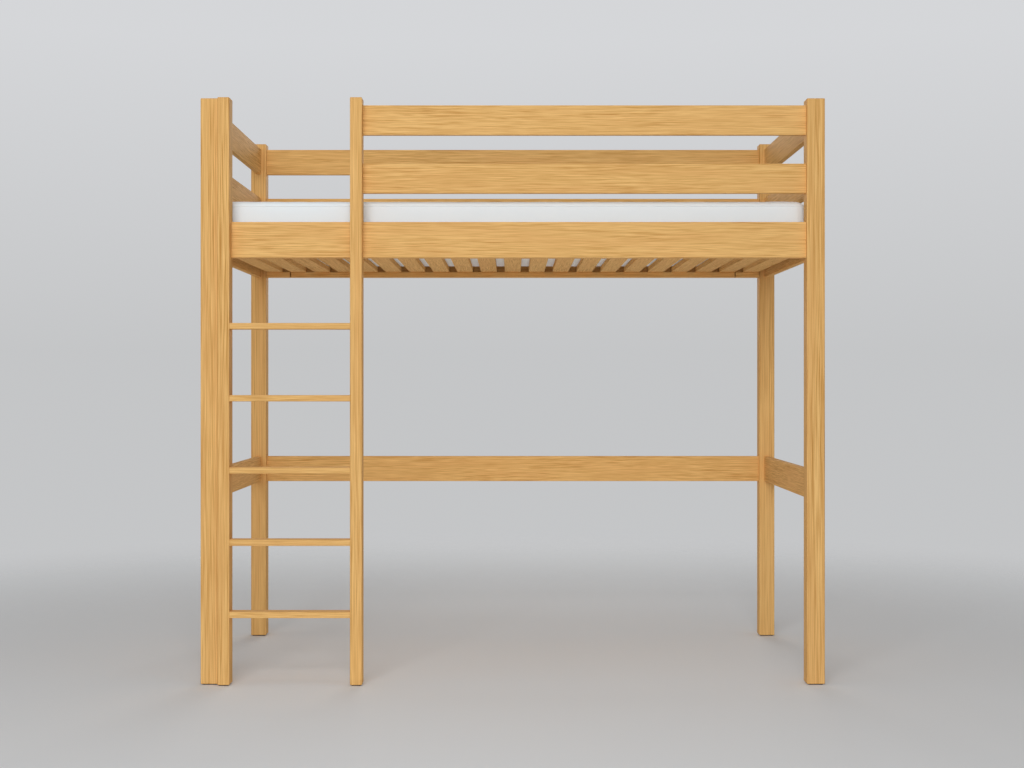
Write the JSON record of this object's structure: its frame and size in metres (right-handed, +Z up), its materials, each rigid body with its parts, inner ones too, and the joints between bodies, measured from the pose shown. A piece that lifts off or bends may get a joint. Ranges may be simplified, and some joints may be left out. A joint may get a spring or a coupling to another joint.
{
  "type": "loft bed",
  "caption": "High pine bed frame with guard rails all round, a straight ladder at the front left corner, slats on cleats, a white mattress and open space beneath.",
  "frame": {"origin": "on the floor, under the middle of the whole bed", "axes": "+X along the bed to the right as seen from the ladder side, +Y from the ladder side to the rear, +Z up"},
  "size_m": [2.09, 1.05, 1.964],
  "materials": {
    "oiled_pine": "satin",
    "dowel_beech": "matte",
    "mattress_cover": "matte",
    "zinc_steel": "satin",
    "glide_plastic": "matte"
  },
  "bodies": {
    "frame": {"barrel_nuts": "zinc_steel", "bed_rail_front": "oiled_pine", "bed_rail_left_end": "oiled_pine", "bed_rail_rear": "oiled_pine", "bed_rail_right_end": "oiled_pine", "cleat_blocks": "oiled_pine", "cleat_front": "oiled_pine", "cleat_rear": "oiled_pine", "cleat_screws": "zinc_steel", "frame_bolts": "zinc_steel", "frame_dowels": "dowel_beech", "glides": "glide_plastic", "guard_front_lower": "oiled_pine", "guard_front_upper": "oiled_pine", "guard_left_lower": "oiled_pine", "guard_left_upper": "oiled_pine", "guard_rear_lower": "oiled_pine", "guard_rear_upper": "oiled_pine", "guard_right_lower": "oiled_pine", "guard_right_upper": "oiled_pine", "ladder_screws": "zinc_steel", "ladder_stile_left": "oiled_pine", "ladder_stile_right": "oiled_pine", "post_front_left": "oiled_pine", "post_front_right": "oiled_pine", "post_rear_left": "oiled_pine", "post_rear_right": "oiled_pine", "post_screws": "zinc_steel", "rung_1": "oiled_pine", "rung_2": "oiled_pine", "rung_3": "oiled_pine", "rung_4": "oiled_pine", "rung_5": "oiled_pine", "rung_dowels": "dowel_beech", "slat_01": "oiled_pine", "slat_02": "oiled_pine", "slat_03": "oiled_pine", "slat_04": "oiled_pine", "slat_05": "oiled_pine", "slat_06": "oiled_pine", "slat_07": "oiled_pine", "slat_08": "oiled_pine", "slat_09": "oiled_pine", "slat_10": "oiled_pine", "slat_11": "oiled_pine", "slat_12": "oiled_pine", "slat_13": "oiled_pine", "slat_14": "oiled_pine", "slat_15": "oiled_pine", "slat_16": "oiled_pine", "slat_17": "oiled_pine", "slat_18": "oiled_pine", "slat_19": "oiled_pine", "slat_20": "oiled_pine", "slat_21": "oiled_pine", "slat_screws": "zinc_steel", "stretcher_left": "oiled_pine", "stretcher_rear": "oiled_pine", "stretcher_right": "oiled_pine"},
    "mattress": {"mattress": "mattress_cover"}
  },
  "joints": [
    {"name": "mattress_lift", "type": "slide", "parent": "frame", "child": "mattress", "axis": [0, 0, 1], "range_m": [0, 0.5]}
  ]
}
